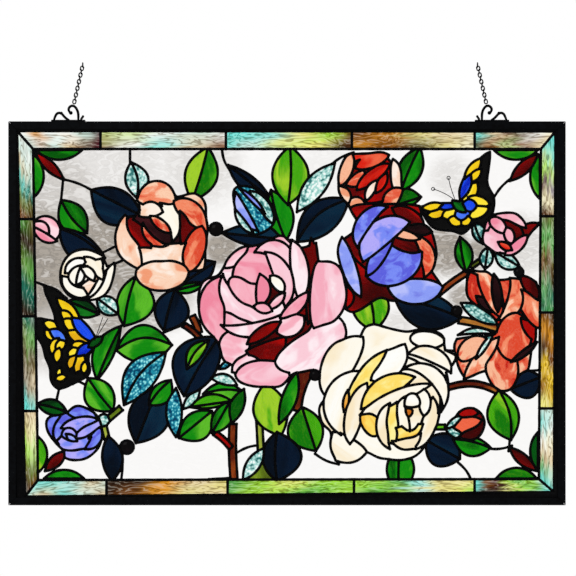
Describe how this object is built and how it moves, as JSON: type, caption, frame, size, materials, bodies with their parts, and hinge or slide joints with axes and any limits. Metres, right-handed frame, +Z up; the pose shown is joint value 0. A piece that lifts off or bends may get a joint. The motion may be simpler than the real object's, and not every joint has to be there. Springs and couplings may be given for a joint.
{
  "type": "stained glass window",
  "caption": "Framed stained glass panel of roses, leaves and butterflies, hung by chains from two scroll hangers.",
  "frame": {"origin": "middle of the panel in width and thickness, at the level where the chains end at the top", "axes": "+X to the viewer's right along the panel, +Y through the glass to its back, +Z up; the front faces -Y"},
  "size_m": [0.813, 0.0094, 0.6464],
  "materials": {
    "black_metal": "satin black paint",
    "solder": "solder under a black patina, beaded",
    "glass_plum": "glossy cast jewel, nearly black",
    "glass_yellow": "streaky cathedral glass",
    "glass_red": "streaky cathedral glass",
    "glass_pink": "wispy opalescent glass",
    "glass_cream": "wispy opalescent glass",
    "glass_coral": "streaky glass, red into cream",
    "glass_blue": "wispy glass, blue into lilac",
    "glass_peach": "wispy opalescent glass",
    "glass_aqua": "rippled glass",
    "glass_green": "streaky green glass",
    "glass_lime": "streaky green into yellow glass",
    "glass_teal": "hammered glass",
    "glass_navy": "very dark blue glass",
    "glass_clear": "clear rippled glass",
    "glass_streaky": "streaky green, amber and aqua glass"
  },
  "bodies": {
    "root": {"frame_bottom": "black_metal", "frame_right": "black_metal", "frame_top": "black_metal", "frame_left": "black_metal", "hanger_left": "black_metal", "hanger_right": "black_metal", "chain_left": "black_metal", "chain_right": "black_metal", "antennae_left": "black_metal", "antennae_right": "black_metal", "solder_lattice": "solder", "jewel_1": "glass_plum", "jewel_2": "glass_plum", "jewel_3": "glass_plum", "jewel_4": "glass_plum", "jewel_5": "glass_plum", "butterfly_left": "glass_yellow", "butterfly_right": "glass_yellow", "bud_red": "glass_red", "rose_red": "glass_red", "rose_small_pink": "glass_pink", "rose_pink": "glass_pink", "bud_pink": "glass_pink", "rose_cream": "glass_cream", "rose_white": "glass_cream", "rose_coral": "glass_coral", "rose_blue": "glass_blue", "rose_small_blue": "glass_blue", "rose_peach": "glass_peach", "blue_bud": "glass_aqua", "leaf_bud": "glass_green", "green_wing": "glass_green", "green_big": "glass_green", "green_blue": "glass_green", "green_rose": "glass_lime", "green_top": "glass_lime", "lime_mid": "glass_lime", "lime_drop": "glass_lime", "lime_low": "glass_lime", "lime_right": "glass_lime", "teal_big": "glass_teal", "navy_left": "glass_navy", "navy_mid": "glass_navy", "navy_right": "glass_navy", "navy_low": "glass_navy", "navy_heart": "glass_navy", "navy_drop": "glass_navy", "navy_cream": "glass_navy", "navy_coral": "glass_navy", "pane_1": "glass_clear", "border_top": "glass_streaky", "border_right": "glass_streaky", "border_bottom": "glass_streaky", "border_left": "glass_streaky"}
  },
  "joints": []
}
